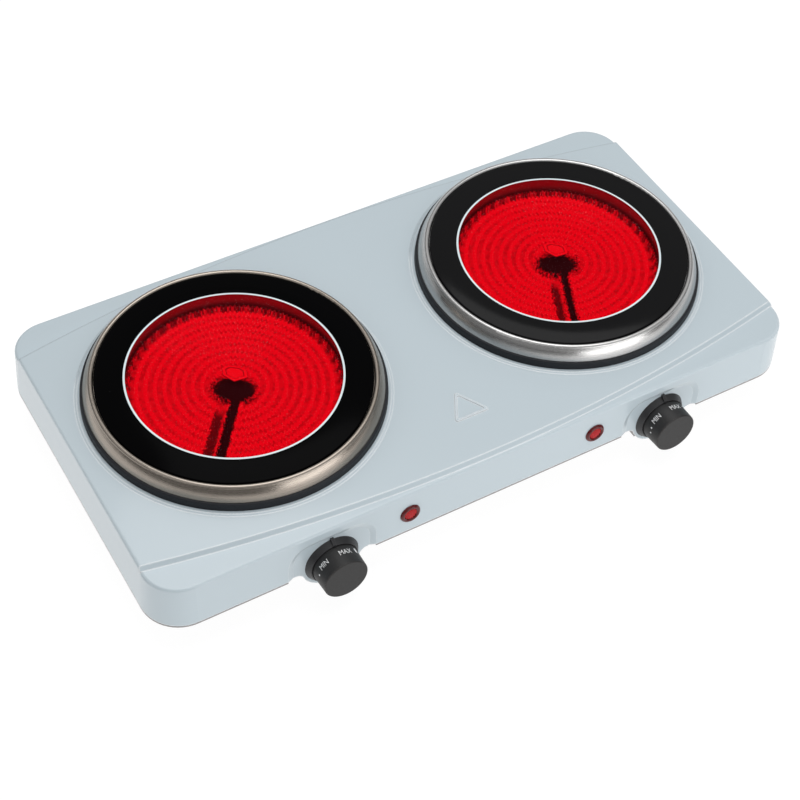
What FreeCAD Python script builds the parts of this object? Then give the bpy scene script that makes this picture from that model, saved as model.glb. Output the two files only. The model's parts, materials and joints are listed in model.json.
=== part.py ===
import FreeCAD
import Part
import math
import os
from FreeCAD import Placement, Rotation, Vector

# Double infrared hot plate, in millimetres.
# Z = 0 is the surface it stands on, X runs along its length, and the knobs face -Y.
# The origin lies under the middle of the outer box.

# --- driving dimensions -------------------------------------------------------
sheet = 1.0                    # pressed steel of the housing and of the base
housing_top = 62.0             # top face of the housing
skirt_bottom = 25.5            # lower edge of the housing's walls
half_length = 236.8            # centre to end wall, at the top face
front_reach = 124.9            # burner line to front wall, at the top face
back_reach = 113.6             # burner line to back wall, at the top face
draft = 3.5                    # degrees that the walls lean outwards
corner_radius = 24.0           # upright corners, at the top face
edge_radius = 2.0              # round edge between top face and walls
burner_x = 124.2               # each burner's distance from the middle
burner_y = 11.5                # burner line, from the middle of the outer box

step_drop = 2.5                # the top face steps down this far near its corners
step_arc_radius = 1232.0       # plan radius of the step
step_front_reach = 120.4       # burner line to the front step, at mid-length
step_front_run = 2.6           # width of the front step's slope
step_back_reach = 109.9        # burner line to the back step, at mid-length
step_back_run = 1.8

glass_radius = 89.0
glass_thickness = 4.0
glass_rise = 15.8              # glass face above the housing's top face
ring_crest_radius = 91.2
ring_foot_radius = 96.9
ring_foot_rise = 6.3
ring_sheet = 0.8
gasket_radius = 98.8
seat_radius = 100.9            # flat of the raised seat that carries a burner
seat_foot_radius = 102.3
seat_rise = 0.8
opening_radius = 93.0          # hole in the housing under each burner

pan_radius = 83.5              # heater pan below the glass
pan_sheet = 0.6
pan_depth = 31.2
wall_insulation = 10.9         # thickness of the ring of insulation
coil_pitch = 6.0
coil_inner_radius = 15.0
coil_turns = 10
coil_strip = 0.6
coil_height = 4.0
lead_radius = 1.2              # pins at the coil's two ends
coil_floor_rise = 1.0          # insulation floor above the housing's top face
strap_hole = 96.5              # burner axis to the screws of the strap below it
channel_half_width = 7.0       # bare channel where the coil's inner end runs out
channel_turn = {"left": 38.0, "right": 24.0}   # degrees from -Y towards -X

panel_shift = 4.0              # the row of controls sits this far to the right
knob_spread = 125.0            # each knob's distance from the middle of that row
knob_height = 28.5
lamp_spread = 70.0
lamp_height = 41.5
dish_depth = 1.5               # recess in the front wall behind each knob
dish_half = 31.0               # half its width at the wall face
dish_slant = 4.0               # width of its sloping border
lobe_radius = 21.0             # tongue of the front wall below each knob
knob_base_radius = 15.6
knob_face_radius = 15.1
knob_base_rise = 2.0           # knob's open end above the recess floor
knob_face_rise = 19.0
bezel_radius = 18.8
bezel_rim_radius = 16.5
bezel_rise = 4.0
spindle_radius = 3.0
running_gap = 0.06

tray_floor = 11.0              # underside of the base pan
tray_inset = 14.0              # skirt to tray wall
bay_half = 16.6                # half width of the bay below each control
bay_rise = 2.5                 # bay floor above the tray floor
flange_inset = 0.2             # skirt to the edge of the base pan's flange
flange_top = 24.9              # base pan's flange, just under the skirt's edge
foot_height = 11.0
foot_x = 196.0
foot_front = 88.0              # burner line to front feet
foot_back = 84.0

gland_bore = 3.6
gland_reach = 7.35
gland_height = 44.0

slope = math.tan(math.radians(draft))
sides = {"left": -1.0, "right": 1.0}


# --- helpers ------------------------------------------------------------------
def save(name, shape):
    """Write one named piece as a STEP file."""
    shape.exportStep("parts/" + name + ".step")


def solid_of(shape):
    """The single solid inside a boolean result."""
    return shape.Solids[0] if len(shape.Solids) == 1 else shape


def join(shapes):
    """Fuse overlapping shapes into one."""
    return solid_of(shapes[0].multiFuse(shapes[1:]).removeSplitter())


def group(shapes):
    """Separate solids that share one node."""
    return Part.makeCompound([s for shape in shapes for s in shape.Solids])


def box(x0, x1, y0, y1, z0, z1):
    """Box between two corners."""
    return Part.makeBox(x1 - x0, y1 - y0, z1 - z0, Vector(x0, y0, z0))


def disc(radius, low, high, x=0.0, y=0.0):
    """Upright cylinder between two heights."""
    return Part.makeCylinder(radius, high - low, Vector(x, y, low))


def face_of(points):
    """Flat face inside a closed outline; a 3-tuple entry ("arc", via, end) bends a side."""
    edges = []
    here = Vector(*points[0])
    for point in points[1:]:
        if point[0] == "arc":
            via, end = Vector(*point[1]), Vector(*point[2])
            edges.append(Part.Arc(here, via, end).toShape())
        else:
            end = Vector(*point)
            edges.append(Part.LineSegment(here, end).toShape())
        here = end
    if here.distanceToPoint(Vector(*points[0])) > 1e-7:
        edges.append(Part.LineSegment(here, Vector(*points[0])).toShape())
    return Part.Face(Part.Wire(edges))


def spun(profile):
    """Solid of revolution about the Z axis; profile points are (radius, height)."""
    points = []
    for point in profile:
        if point[0] == "arc":
            points.append(("arc", (point[1][0], 0, point[1][1]), (point[2][0], 0, point[2][1])))
        else:
            points.append((point[0], 0, point[1]))
    return solid_of(face_of(points).revolve(Vector(0, 0, 0), Vector(0, 0, 1), 360))


def moved(shape, x, y, z):
    """Copy of a shape, shifted."""
    result = shape.copy()
    result.translate(Vector(x, y, z))
    return result


def turned(shape, degrees, x=0.0, y=0.0):
    """Copy of a shape, turned about an upright line through x, y."""
    result = shape.copy()
    result.rotate(Vector(x, y, 0), Vector(0, 0, 1), degrees)
    return result


def placed(shape, placement):
    """Copy of a shape built at the origin, put where a placement says."""
    result = shape.copy()
    result.Placement = placement.multiply(result.Placement)
    return result


def front_wall(x, z):
    """Local frame on the front wall: X along it, Y up it, Z out of it."""
    y = burner_y - front_reach - (housing_top - z) * slope
    return Placement(Vector(x, y, z), Rotation(Vector(1, 0, 0), 90 - draft))


def back_wall(x, z):
    """Local frame on the back wall: Z out of it, Y up it."""
    y = burner_y + back_reach + (housing_top - z) * slope
    return Placement(Vector(x, y, z), Rotation(Vector(0, 0, 1), 180).multiply(
        Rotation(Vector(1, 0, 0), 90 - draft)))


def pan_head(radius, height, shank, length):
    """Screw along +Z: head above z = 0, shank below it, with a cross recess."""
    head = spun([(0, 0), (radius, 0), (radius, height * 0.4),
                 ("arc", (radius * 0.72, height * 0.86), (radius * 0.3, height)), (0, height)])
    cross = box(-radius * 0.5, radius * 0.5, -0.4, 0.4, height * 0.45, height + 1)
    cross = cross.fuse(turned(cross, 90))
    return join([head.cut(cross), disc(shank, -length, 0.2)])


# --- housing ------------------------------------------------------------------
def drafted_block(inset, bottom, top, rounding):
    """Block with leaning walls and conical upright corners, moved inwards by inset."""
    wide_low = (housing_top - bottom) * slope - inset
    wide_high = (housing_top - top) * slope - inset
    core_x = half_length - corner_radius
    core_front = burner_y - front_reach + corner_radius
    core_back = burner_y + back_reach - corner_radius
    low, high = corner_radius + wide_low, corner_radius + wide_high
    pieces = []
    for x in (-core_x, core_x):
        for y in (core_front, core_back):
            pieces.append(Part.makeCone(low, high, top - bottom, Vector(x, y, bottom)))
    along = face_of([(-core_x, core_front - low, bottom), (-core_x, core_back + low, bottom),
                     (-core_x, core_back + high, top), (-core_x, core_front - high, top)])
    pieces.append(along.extrude(Vector(2 * core_x, 0, 0)))
    across = face_of([(-core_x - low, core_front, bottom), (core_x + low, core_front, bottom),
                      (core_x + high, core_front, top), (-core_x - high, core_front, top)])
    pieces.append(across.extrude(Vector(0, core_back - core_front, 0)))
    block = join(pieces)
    if rounding:
        rim = [e for e in block.Edges
               if abs(e.BoundBox.ZMin - top) < 1e-4 and abs(e.BoundBox.ZMax - top) < 1e-4]
        block = block.makeFillet(rounding, rim)
    return block


def raised_field(inset):
    """Region between the two long arcs: sloping sides above the step's foot, upright below it."""
    top = housing_top - inset
    foot = top - step_drop
    above = 3.0
    forms = []
    for reach, run, way in ((step_front_reach, step_front_run, -1), (step_back_reach, step_back_run, 1)):
        lean = run / step_drop
        radius = step_arc_radius - inset * math.tan(math.atan(1 / lean) / 2)
        form = spun([(0, 0), (radius + run, 0), (radius + run, foot),
                     (radius - above * lean, top + above), (0, top + above)])
        forms.append(moved(form, 0, burner_y + way * (reach - step_arc_radius), 0))
    return forms[0].common(forms[1])


def stepped_body(inset, bottom):
    """Outer or inner form of the housing: raised between the arcs, lower outside them."""
    field = raised_field(inset)
    low = drafted_block(inset, bottom, housing_top - step_drop - inset, edge_radius - inset)
    high = drafted_block(inset, bottom, housing_top - inset, edge_radius - inset)
    return join([high.common(field), low.cut(field)])


def rounded_outline(half_width, low, high, radius, level):
    """Wire in a wall's local frame: a tab with two round upper corners."""
    bend = radius * (1 - math.sqrt(0.5))
    corner_left = (-half_width + bend, high - bend, level)
    corner_right = (half_width - bend, high - bend, level)
    return face_of([(-half_width, low, level), (-half_width, high - radius, level),
                    ("arc", corner_left, (-half_width + radius, high, level)),
                    (half_width - radius, high, level),
                    ("arc", corner_right, (half_width, high - radius, level)),
                    (half_width, low, level)]).OuterWire


def dish(grow, mouth, floor):
    """Tapered recess form: wide at the wall face, narrower at its floor."""
    wide = dish_half + grow
    narrow = wide - dish_slant
    outer = rounded_outline(wide, -14.0, 24.5 + grow, 17.0 + grow, mouth)
    inner = rounded_outline(narrow, -14.0, 24.5 + grow - dish_slant, 17.0 + grow - dish_slant, floor)
    return Part.makeLoft([outer, inner], True, True)


def lobe():
    """Tongue of the front wall that carries a control below the skirt's edge."""
    fillet = 6.0
    edge = skirt_bottom - knob_height
    centre_y = edge - fillet
    centre_x = math.sqrt((lobe_radius + fillet) ** 2 - centre_y ** 2)
    share = lobe_radius / (lobe_radius + fillet)
    touch_x, touch_y = centre_x * share, centre_y * share
    away = Vector(-touch_x + centre_x, touch_y - centre_y, 0)
    middle = away.add(Vector(0, fillet, 0)).normalize().multiply(fillet)
    via_left = (-centre_x + middle.x, centre_y + middle.y, 0)
    via_right = (centre_x - middle.x, centre_y + middle.y, 0)
    top = edge + 2.0
    outline = face_of([(-centre_x, top, 0), (-centre_x, edge, 0),
                       ("arc", via_left, (-touch_x, touch_y, 0)),
                       ("arc", (0, -lobe_radius, 0), (touch_x, touch_y, 0)),
                       ("arc", via_right, (centre_x, edge, 0)), (centre_x, top, 0)])
    plate = outline.extrude(Vector(0, 0, sheet))
    return moved(plate, 0, 0, -dish_depth - sheet)


def triangle_mark():
    """Plain raised triangle between the burners."""
    def prism(size, low, high):
        corners = [(size * math.sin(math.radians(120 * i)), size * math.cos(math.radians(120 * i)), low)
                   for i in range(3)]
        solid = face_of(corners).extrude(Vector(0, 0, high - low))
        upright = [e for e in solid.Edges if e.BoundBox.ZLength > high - low - 0.01]
        return solid.makeFillet(size * 0.1, upright)
    ridge = prism(15.0, housing_top - 0.3, housing_top + 0.5)
    ridge = ridge.cut(prism(12.2, housing_top - 1.0, housing_top + 1.0))
    return moved(ridge, 0, burner_y - 83.0, 0)


def knob_x(side):
    return panel_shift + sides[side] * knob_spread


def lamp_x(side):
    return panel_shift + sides[side] * lamp_spread


def top_shell():
    """Pressed housing: stepped top, leaning walls, burner openings and control recesses."""
    outer = stepped_body(0.0, skirt_bottom)
    inner = stepped_body(sheet, skirt_bottom - 1.0)
    below = box(-300, 300, -200, 200, 0, skirt_bottom)
    for side in sides:
        x = sides[side] * burner_x
        seat = Part.makeCone(seat_foot_radius, seat_radius, seat_rise, Vector(x, burner_y, housing_top))
        outer = outer.fuse(seat)
        under = Part.makeCone(seat_foot_radius - 0.6, seat_radius - 0.6, seat_rise + 0.1,
                              Vector(x, burner_y, housing_top - sheet - 0.1))
        inner = inner.fuse(under)
    shell = outer.cut(inner)
    for side in sides:
        spot = front_wall(knob_x(side), knob_height)
        backing = placed(dish(0.9, -0.4, -dish_depth - sheet), spot).cut(below)
        shell = shell.fuse(backing)
        shell = shell.cut(placed(dish(0.0, 0.02, -dish_depth), spot))
        shell = shell.fuse(placed(lobe(), spot))
        shell = shell.cut(placed(disc(5.2, -6, 3), spot))
        for x in (-9.0, 9.0):
            shell = shell.cut(placed(disc(2.0, -6, 3, x), spot))
        shell = shell.cut(placed(disc(5.2, -4, 3), front_wall(lamp_x(side), lamp_height)))
        shell = shell.cut(disc(opening_radius, 40, 80, sides[side] * burner_x, burner_y))
        for y in (-strap_hole, strap_hole):
            shell = shell.cut(disc(1.85, 55, 70, sides[side] * burner_x, burner_y + y))
    shell = shell.cut(placed(disc(6.2, -4, 3), back_wall(0, gland_height)))
    shell = shell.fuse(triangle_mark())
    return solid_of(shell.removeSplitter())


# --- base ---------------------------------------------------------------------
def tray(inset, low, high):
    """Tray below the flange, with a bay that reaches forward under each control."""
    x = half_length - tray_inset - inset
    front = burner_y - front_reach + tray_inset + inset
    back = burner_y + back_reach - tray_inset - inset
    body = box(-x, x, front, back, low, high)
    corners = [e for e in body.Edges if e.BoundBox.ZLength > high - low - 0.01]
    body = body.makeFillet(12.0 - inset, corners)
    for side in sides:
        middle = knob_x(side)
        bay_front = burner_y - front_reach + 0.9 + inset
        half = bay_half - inset
        body = body.fuse(box(middle - half, middle + half, bay_front, front + 20, low + bay_rise, high))
    return body


def lug_spots():
    """Place and direction of each lug: x, y, outward angle, distance to the wall's top line."""
    spots = []
    for x in (-190.0, 4.0, 196.0):
        spots.append((x, burner_y, -90.0, front_reach))
    for x in (-190.0, 60.0, 190.0):
        spots.append((x, burner_y, 90.0, back_reach))
    spots.append((0.0, burner_y, 180.0, half_length))
    spots.append((0.0, burner_y, 0.0, half_length))
    return spots


def at_lug(shape, spot):
    """Move a shape whose +X points at the wall to one lug's place."""
    x, y, angle, _ = spot
    return moved(turned(shape, angle), x, y, 0)


def lug(reach):
    """Bent steel lug welded inside the skirt; its foot takes a base screw."""
    def wall(z):
        return reach + (housing_top - z) * slope - sheet
    thick, foot, tall, half = 1.5, 12.0, 14.0, 8.0
    outline = face_of([(wall(flange_top), -half, flange_top), (wall(flange_top) - foot, -half, flange_top),
                       (wall(flange_top) - foot, -half, flange_top + thick),
                       (wall(flange_top + thick) - thick, -half, flange_top + thick),
                       (wall(flange_top + tall) - thick, -half, flange_top + tall),
                       (wall(flange_top + tall), -half, flange_top + tall)])
    body = outline.extrude(Vector(0, 2 * half, 0))
    return body.cut(disc(1.6, 0, 60, reach - 6.0, 0))


def base_screw(reach):
    """Screw up through the flange into a lug."""
    screw = pan_head(3.4, 2.0, 1.6, 6.0)
    screw.rotate(Vector(0, 0, 0), Vector(1, 0, 0), 180)
    return moved(screw, reach - 6.0, 0, flange_top - sheet)


def foot_spots():
    """Named places of the four feet."""
    return {"front_left": (-foot_x, burner_y - foot_front), "front_right": (foot_x, burner_y - foot_front),
            "back_left": (-foot_x, burner_y + foot_back), "back_right": (foot_x, burner_y + foot_back)}


def base_pan():
    """Pressed base: flange under the skirt, tray, bays for the controls and cooling slots."""
    flange = drafted_block(flange_inset, flange_top - sheet, flange_top, 0)
    pan = flange.fuse(tray(0.0, tray_floor, flange_top))
    pan = pan.cut(tray(sheet, tray_floor + sheet, flange_top + 1))
    for side in sides:
        spot = front_wall(knob_x(side), knob_height)
        pan = pan.cut(placed(box(sheet - bay_half, bay_half - sheet, -13.6, 30, -6, 3), spot))
        pan = pan.cut(placed(box(-dish_half, dish_half, -30, 6, -dish_depth - sheet - 0.3, 3), spot))
        for row in (-1, 1):
            for i in range(9):
                x = sides[side] * burner_x + (i - 4) * 9.0
                y = burner_y + row * 32.0
                slot = box(x - 1.6, x + 1.6, y - 20, y + 20, tray_floor - 1, tray_floor + 3)
                ends = [e for e in slot.Edges if e.BoundBox.ZLength > 3.9]
                pan = pan.cut(slot.makeFillet(1.55, ends))
    for spot in lug_spots():
        pan = pan.cut(at_lug(disc(1.6, 0, 60, spot[3] - 6.0, 0), spot))
    for x, y in foot_spots().values():
        pan = pan.cut(disc(2.1, 0, 60, x, y))
    pan = pan.cut(disc(1.6, 0, 60, earth_spot[0], earth_spot[1]))
    return solid_of(pan.removeSplitter())


def foot(x, y):
    """Rubber foot with a sunk hole for its screw."""
    body = spun([(0, 0), (9.0, 0), ("arc", (9.7, 0.3), (10.0, 1.0)), (11.0, foot_height), (0, foot_height)])
    body = body.cut(disc(5.0, -1, 5.0)).cut(disc(2.1, -1, 20))
    return moved(body, x, y, 0)


def foot_screw(x, y):
    """Screw and nut that hold one foot."""
    screw = pan_head(4.2, 2.4, 2.0, 12.0)
    screw.rotate(Vector(0, 0, 0), Vector(1, 0, 0), 180)
    screw = moved(screw, 0, 0, 5.0)
    nut = Part.makePolygon([Vector(3.9 * math.cos(math.radians(60 * i)), 3.9 * math.sin(math.radians(60 * i)), 0)
                            for i in range(7)])
    nut = Part.Face(nut).extrude(Vector(0, 0, 3.0)).cut(disc(2.0, -1, 4))
    return [moved(screw, x, y, 0), moved(nut, x, y, tray_floor + sheet)]


# --- burner -------------------------------------------------------------------
def glass_disc():
    """Glass ceramic disc with a small ground edge."""
    low, high, ease = glass_rise - glass_thickness, glass_rise, 0.6
    return spun([(0, low), (glass_radius - ease, low), (glass_radius, low + ease),
                 (glass_radius, high - ease), (glass_radius - ease, high), (0, high)])


def trim_ring():
    """Spun steel ring: shelf under the glass, rounded crest and flared skirt."""
    shelf = glass_rise - glass_thickness
    t = ring_sheet
    inner = glass_radius + 0.35
    crest = glass_rise + 0.3
    return spun([(84.6, shelf - t), (inner + t, shelf - t), (inner + t, crest - 1.6),
                 ("arc", (ring_crest_radius, crest - t), (92.3 - 0.1, crest - 1.7)),
                 ("arc", (94.3, 10.9), (ring_foot_radius - t, ring_foot_rise)),
                 (ring_foot_radius, ring_foot_rise),
                 ("arc", (95.1, 11.3), (92.9, crest - 1.3)),
                 ("arc", (ring_crest_radius, crest), (inner, crest - 1.5)),
                 (inner, shelf), (84.6, shelf)])


def gasket_ring():
    """Black seal between steel ring and housing, with a lip down through the opening."""
    return spun([(91.4, -0.1), (92.7, -0.1), (92.7, seat_rise), (gasket_radius, seat_rise),
                 (gasket_radius - 0.4, ring_foot_rise - 0.9),
                 ("arc", (gasket_radius - 0.8, ring_foot_rise - 0.25), (gasket_radius - 1.5, ring_foot_rise)),
                 (91.4, ring_foot_rise)])


def ring_clips():
    """Bent tabs that pull the steel ring down onto the housing."""
    shelf = glass_rise - glass_thickness - ring_sheet
    t = 0.8
    outline = face_of([(85.2, -4, shelf - t), (88.4, -4, shelf - t), (88.4, -4, -0.3 - t),
                       (100.0, -4, -0.3 - t), (100.0, -4, -0.3), (89.2, -4, -0.3),
                       (89.2, -4, shelf), (85.2, -4, shelf)])
    tab = outline.extrude(Vector(0, 8, 0))
    return [turned(tab, angle) for angle in (45, 135, 225, 315)]


def heater_pan():
    """Thin steel dish that holds the insulation."""
    high = glass_rise - glass_thickness - 0.4
    low = high - pan_depth
    t = pan_sheet
    return spun([(0, low), (pan_radius - 4, low), ("arc", (pan_radius - 1.17, low + 1.17), (pan_radius, low + 4)),
                 (pan_radius, high), (pan_radius - t, high), (pan_radius - t, low + 4),
                 ("arc", (pan_radius - 1.6, low + 1.6), (pan_radius - 4, low + t)), (0, low + t)])


def pan_floor():
    return glass_rise - glass_thickness - 0.4 - pan_depth


def insulation_base():
    """Pressed board that carries the coil."""
    radius = pan_radius - pan_sheet - 0.3
    low = pan_floor() + pan_sheet
    return spun([(0, low), (radius - 4, low), (radius, low + 4.5), (radius, coil_floor_rise),
                 (0, coil_floor_rise)])


def insulation_ring():
    """Wall of insulation between the coil and the pan, up to the glass."""
    outer = pan_radius - pan_sheet - 0.3
    high = glass_rise - glass_thickness - 0.3
    inner = outer - wall_insulation
    return spun([(inner, coil_floor_rise), (outer, coil_floor_rise), (outer, high), (inner, high)])


def heating_coil():
    """Ribbon on edge: open circles joined by hairpins beside a bare channel along -Y."""
    low = coil_floor_rise
    half = coil_strip / 2
    strips = []
    radii = [coil_inner_radius + coil_pitch * i for i in range(coil_turns)]

    def on_circle(radius, side_x, wide):
        y = -math.sqrt(radius ** 2 - side_x ** 2)
        return (math.copysign(side_x, wide), y, low)
    for radius in radii:
        inner, outer = radius - half, radius + half
        gap = channel_half_width
        edge = face_of([on_circle(outer, gap, -1), ("arc", (0, outer, low), on_circle(outer, gap, 1)),
                        on_circle(inner, gap, 1), ("arc", (0, inner, low), on_circle(inner, gap, -1))])
        strips.append(edge.extrude(Vector(0, 0, coil_height)))
    for i in range(coil_turns - 1):
        wide = 1 if i % 2 == 0 else -1
        near = -math.sqrt(radii[i] ** 2 - channel_half_width ** 2) + half
        far = -math.sqrt(radii[i + 1] ** 2 - channel_half_width ** 2) - half
        strips.append(box(wide * channel_half_width - half, wide * channel_half_width + half, far, near,
                          low, low + coil_height))
    strips.append(box(-channel_half_width, half, -coil_inner_radius + 2.0 - half, -coil_inner_radius + 2.0 + half,
                      low, low + coil_height))
    strips.append(box(-half, half, -radii[-1] + 3.0, -coil_inner_radius + 2.0, low, low + coil_height))
    return join(strips)


def coil_anchor():
    """Small bent plate that pins the coil's middle to the board."""
    low = coil_floor_rise
    plate = box(-8, 8, -5.0, 5.0, low + 4.6, low + 5.2)
    leg = box(-8, -7.4, -3.0, 3.0, low, low + 5.0)
    plate = join([plate, leg, moved(leg, 15.4, 0, 0)])
    return moved(turned(plate, 20), 0, 3.0, 0)


def lead_spots():
    """Plan places of the two pins: past the stem's end, and against the outer circle's end."""
    outer = coil_inner_radius + coil_pitch * (coil_turns - 1)
    end_y = -math.sqrt(outer ** 2 - channel_half_width ** 2)
    return [(0, -outer + 3.0 - lead_radius), (-channel_half_width + lead_radius, end_y)]


def heater_leads():
    """Two pins from the coil's ends down through board and pan."""
    low, high = pan_floor() - 9.0, coil_floor_rise + 3.0
    return [disc(lead_radius, low, high, x, y) for x, y in lead_spots()]


def heater_terminal():
    """Ceramic block below the pan, bored for the two pins."""
    middle = lead_spots()[0][1]
    block = box(-14, 8, middle - 6, middle + 6, pan_floor() - 12.0, pan_floor())
    upright = [e for e in block.Edges if e.BoundBox.ZLength > 11.9]
    block = block.makeFillet(2.0, upright)
    for x, y in lead_spots():
        block = block.cut(disc(lead_radius + 0.05, -60, 20, x, y))
    return block


def thermal_cutout():
    """Round bimetal cut-out under the pan, with two tab terminals."""
    high = pan_floor()
    body = spun([(0, high - 8), (7.5, high - 8), (7.5, high - 3), (8.3, high - 3), (8.3, high), (0, high)])
    tabs = [box(x - 0.4, x + 0.4, -3.1, 3.1, high - 15, high - 7.5) for x in (-4.0, 4.0)]
    return moved(join([body] + tabs), 38.0, 0, 0)


def crossbar():
    """Bridge strap that holds the heater up against the glass."""
    t, half = 1.5, 9.0
    top = pan_floor() - 6.0
    high = -0.3
    outline = face_of([(-half, -100, high), (-half, -87, high), (-half, -87, top), (-half, 87, top),
                       (-half, 87, high), (-half, 100, high), (-half, 100, high - t),
                       (-half, 87 + t, high - t), (-half, 87 + t, top - t), (-half, -87 - t, top - t),
                       (-half, -87 - t, high - t), (-half, -100, high - t)])
    bar = outline.extrude(Vector(2 * half, 0, 0))
    for y in (-strap_hole, strap_hole):
        bar = bar.cut(disc(1.9, -30, 10, 0, y))
    return bar


def pan_springs():
    """Two bowed leaf springs between strap and pan."""
    low, high, t = pan_floor() - 6.0, pan_floor(), 0.5
    outline = face_of([(-14, -6, low), ("arc", (0, -6, high), (14, -6, low)), (14 - 1.2, -6, low),
                       ("arc", (0, -6, high - t), (-14 + 1.2, -6, low))])
    leaf = turned(outline.extrude(Vector(0, 12, 0)), 90)
    return [moved(leaf, 0, y, 0) for y in (-52.0, 52.0)]


def crossbar_screws():
    """Screws that fix the strap's ends under the housing."""
    screw = pan_head(3.2, 2.0, 1.8, 2.4)
    screw.rotate(Vector(0, 0, 0), Vector(1, 0, 0), 180)
    return [moved(screw, 0, y, -1.8) for y in (-strap_hole, strap_hole)]


# --- controls -----------------------------------------------------------------
def knob():
    """Hollow moulded knob with a hub that grips the flatted spindle."""
    floor = -dish_depth
    base, face = floor + knob_base_rise, floor + knob_face_rise
    ease = 0.9
    shell = spun([(13.6, base), (knob_base_radius, base), (knob_face_radius, face - ease),
                  ("arc", (knob_face_radius - 0.27, face - 0.27), (knob_face_radius - ease, face)),
                  (0, face), (0, face - 2.0), (13.2, face - 2.0)])
    hub = disc(5.0, floor + 4.4, face - 1.0)
    ribs = [turned(box(4.5, 14.1, -0.6, 0.6, floor + 9.0, face - 1.0), 60 * i) for i in range(6)]
    body = join([shell, hub] + ribs)
    bore = spindle_form(0.02, floor, face - 3.0)
    return solid_of(body.cut(bore))


def spindle_form(gap, low, high):
    """Round rod with one flat."""
    rod = disc(spindle_radius + gap, low, high)
    return rod.cut(box(-5, 5, 1.5 + gap, 6, low - 1, high + 1))


def spindle():
    """Regulator spindle: round in its bush, flatted in the knob."""
    floor = -dish_depth
    flat = spindle_form(0.0, floor + 4.0, floor + knob_face_rise - 3.4)
    return join([flat, disc(spindle_radius, -16.0, floor + 4.1)])


def bezel():
    """Fixed ring behind the knob, with a pointer rib at its top."""
    floor = -dish_depth
    ring = spun([(5.6, floor), (bezel_radius, floor), (bezel_rim_radius, floor + bezel_rise),
                 (bezel_rim_radius - 0.6, floor + bezel_rise), (bezel_rim_radius - 0.4, floor + 1.2),
                 (5.6, floor + 1.2)])
    rib = face_of([(-1.1, 15.9, floor + 0.4), (-1.1, 20.4, floor + 0.02), (-1.1, 20.4, floor + 1.2),
                   (-1.1, 17.4, floor + bezel_rise + 0.3), (-1.1, 16.0, floor + bezel_rise + 0.3)])
    ring = join([ring, rib.extrude(Vector(2.2, 0, 0))])
    for x in (-9.0, 9.0):
        ring = ring.cut(disc(2.0, -5, 5, x))
    return ring


def control_screws():
    """Two screws through bezel and wall into the regulator."""
    screw = pan_head(3.1, 1.9, 1.9, 6.0)
    return [moved(screw, x, 0, -dish_depth + 1.2) for x in (-9.0, 9.0)]


def regulator():
    """Energy regulator behind the wall, with front plate and four tab terminals."""
    front = -dish_depth - sheet
    plate = box(-15, 15, -13.5, 13.5, front - 1.5, front)
    body = box(-13, 13, -12.5, 12.5, front - 22, front - 1.4)
    edges = [e for e in body.Edges if e.BoundBox.ZLength > 20.5]
    body = body.makeFillet(2.5, edges)
    tabs = [box(x - 3.15, x + 3.15, y - 0.4, y + 0.4, front - 29, front - 21.5)
            for x in (-7, 7) for y in (-7, 7)]
    whole = join([plate, body] + tabs)
    whole = whole.cut(disc(spindle_radius + running_gap, front - 15, 3))
    for x in (-9.0, 9.0):
        whole = whole.cut(disc(1.95, front - 6, 3, x))
    return whole


# --- indicator lamps ----------------------------------------------------------
def lamp_lens():
    """Clear red cap with a flange that rests on the wall."""
    return spun([(0, 1.9), (3.6, 1.8), ("arc", (4.6, 1.5), (5.1, 0.9)), (5.4, 0.9), ("arc", (6.6, 1.0), (7.1, 0.02)),
                 (5.0, 0.02), (5.0, -6.0), (4.1, -6.0), (4.1, 0.2), (0, 0.7)])


def lamp_body():
    """Moulded holder behind the lens, with two wire tabs."""
    holder = spun([(0, -24), (4.9, -24), (4.9, -6.1), (3.9, -6.1), (3.9, -1.5), (0, -1.5)])
    tabs = [box(x - 0.4, x + 0.4, -2.2, 2.2, -31, -23.5) for x in (-2.4, 2.4)]
    return join([holder] + tabs)


def lamp_clip():
    """Spring washer that grips the lens barrel behind the wall."""
    ring = spun([(5.05, -sheet - 0.6), (8.6, -sheet - 0.6), (8.6, -sheet), (5.05, -sheet)])
    for i in range(6):
        ring = ring.cut(turned(box(4.0, 6.6, -0.5, 0.5, -3, 0), 60 * i))
    return ring


# --- mains entry --------------------------------------------------------------
earth_spot = (-28.0, 84.0)
terminal_spot = (14.0, 80.0)


def cord_gland():
    """Moulded bush in the back wall that a mains lead passes through."""
    return spun([(gland_bore, -12), (6.0, -12), (6.0, -3.0), (7.4, -1.6), (7.4, -1.02), (6.1, -1.02), (6.1, 0.02),
                 (9.0, 0.02), (9.0, 2.2), (6.6, 3.4), (5.4, gland_reach - 0.6),
                 ("arc", (5.2, gland_reach - 0.15), (4.8, gland_reach)), (gland_bore, gland_reach)])


def cord_clamp():
    """Saddle screwed to the base that grips the lead inside."""
    x0, y0, low = 0.0, 98.0, tray_floor + sheet
    arch = disc(6.0, -4.0, 4.0).cut(disc(4.0, -5.0, 5.0)).cut(box(-8, 8, -8, 0, -6, 6))
    arch.rotate(Vector(0, 0, 0), Vector(1, 0, 0), 90)
    feet = [box(4.1, 13, -4, 4, 0, 1.5), box(-13, -4.1, -4, 4, 0, 1.5)]
    saddle = join([arch] + feet)
    return moved(saddle, x0, y0, low)


def mains_terminal():
    """Three-way terminal block on the base."""
    low = tray_floor + sheet
    x, y = terminal_spot
    block = box(x - 17, x + 17, y - 8, y + 8, low, low + 14)
    for i in (-1, 0, 1):
        block = block.cut(disc(3.0, low + 8, low + 20, x + 11 * i, y - 3.5))
        hole = Part.makeCylinder(2.2, 30, Vector(x + 11 * i, y - 15, low + 5), Vector(0, 1, 0))
        block = block.cut(hole)
    for i in (-0.5, 0.5):
        block = block.cut(box(x + 11 * i - 0.6, x + 11 * i + 0.6, y - 9, y + 9, low + 9, low + 20))
    return block


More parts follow.
